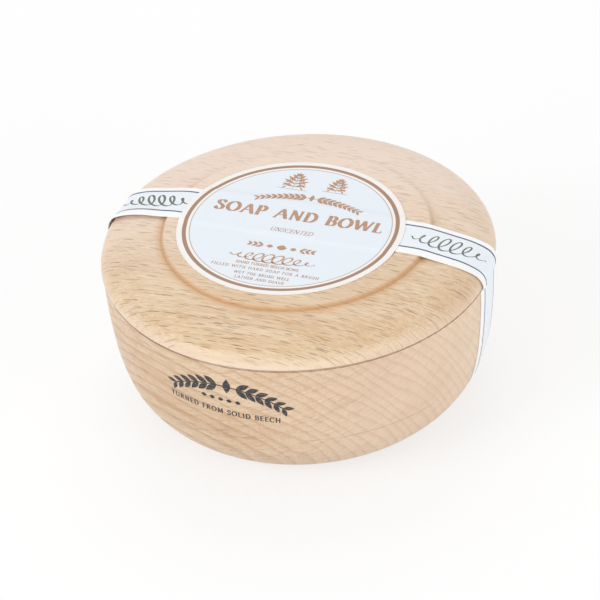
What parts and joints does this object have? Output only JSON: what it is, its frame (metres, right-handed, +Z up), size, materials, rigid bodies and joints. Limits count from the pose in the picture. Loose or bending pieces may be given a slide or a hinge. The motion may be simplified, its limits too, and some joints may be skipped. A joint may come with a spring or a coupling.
{
  "type": "shaving bowl",
  "caption": "Lidded turned beech shaving bowl holding a soap puck, with a round paper label and a paper seal strip over the lid.",
  "frame": {"origin": "centre of the bowl's flat base", "axes": "+Z up through the lid; the seal strip and the label's lines run along +X; the label is read from -Y"},
  "size_m": [0.1155, 0.115, 0.0561],
  "materials": {
    "beech_bowl": "fine sanded, waxed beech",
    "beech_lid": "fine sanded, waxed beech",
    "soap": "pressed hard soap, satin",
    "label_paper": "printed uncoated paper",
    "seal_paper": "printed uncoated paper"
  },
  "bodies": {
    "bowl": {"bowl": "beech_bowl", "soap_puck": "soap", "seal_tail_right": "seal_paper", "seal_tail_left": "seal_paper"},
    "lid": {"lid": "beech_lid", "lid_label": "label_paper", "seal_band_lid": "seal_paper"}
  },
  "joints": [
    {"name": "lid_lift", "type": "slide", "parent": "bowl", "child": "lid", "axis": [0, 0, 1], "range_m": [0, 0.06]}
  ]
}
